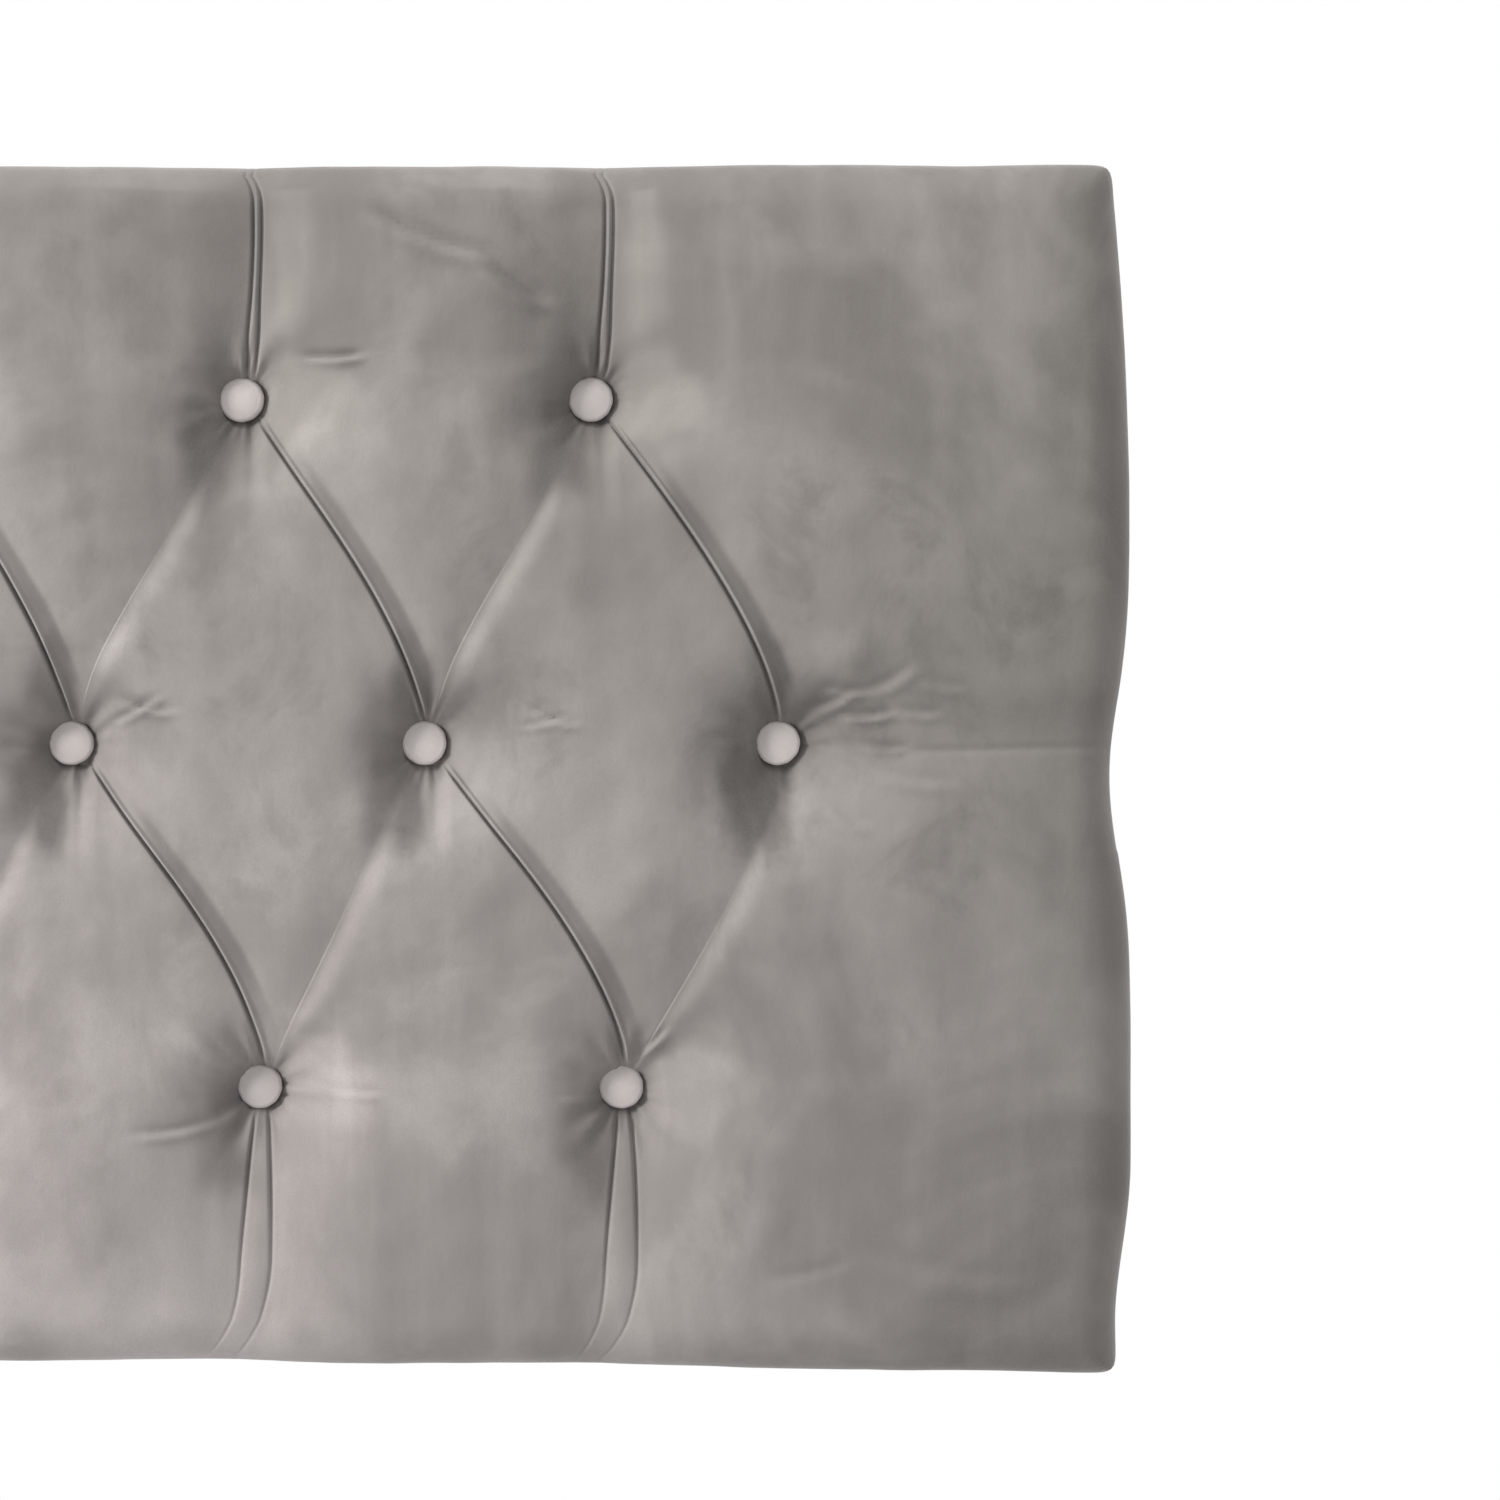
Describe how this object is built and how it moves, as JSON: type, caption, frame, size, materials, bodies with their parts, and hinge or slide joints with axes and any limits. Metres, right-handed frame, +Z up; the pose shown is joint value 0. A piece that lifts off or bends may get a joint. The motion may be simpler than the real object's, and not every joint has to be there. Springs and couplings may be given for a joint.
{
  "type": "headboard",
  "caption": "Wide padded headboard with a deep-buttoned diamond-tufted velvet front, rolled edges, a flat lined back and four strut bolt holes.",
  "frame": {"origin": "centre of the four strut bolt holes, on the plane of the back lining, where the bed's struts lie", "axes": "+X to the right as seen from the room, +Y out of the back towards the wall, so the tufted front faces -Y, +Z up"},
  "size_m": [1.392, 0.0852, 0.586],
  "materials": {
    "velvet": "light warm-grey plush velvet",
    "button_velvet": "the same velvet pulled over the buttons",
    "wadding": "white polyester fibre sheet",
    "foam": "open-cell upholstery foam",
    "board": "bare chipboard",
    "timber": "planed softwood, unfinished",
    "twine": "waxed tufting twine",
    "lining": "black non-woven lining cloth",
    "zinc_steel": "zinc plated",
    "fastener_steel": "plain steel strip",
    "staple_wire": "galvanised wire"
  },
  "bodies": {
    "root": {"velvet_cover": "velvet", "wadding": "wadding", "foam_pad": "foam", "front_board": "board", "bottom_rail": "timber", "top_rail": "timber", "left_stile": "timber", "right_stile": "timber", "left_strut_batten": "timber", "right_strut_batten": "timber", "tee_nuts": "zinc_steel", "back_lining": "lining", "bottom_row_buttons": "button_velvet", "middle_row_buttons": "button_velvet", "top_row_buttons": "button_velvet", "bottom_row_twines": "twine", "middle_row_twines": "twine", "top_row_twines": "twine", "twine_staples": "staple_wire", "hem_staples": "staple_wire", "lining_staples": "staple_wire", "board_staples": "staple_wire", "corner_fasteners": "fastener_steel"}
  },
  "joints": []
}
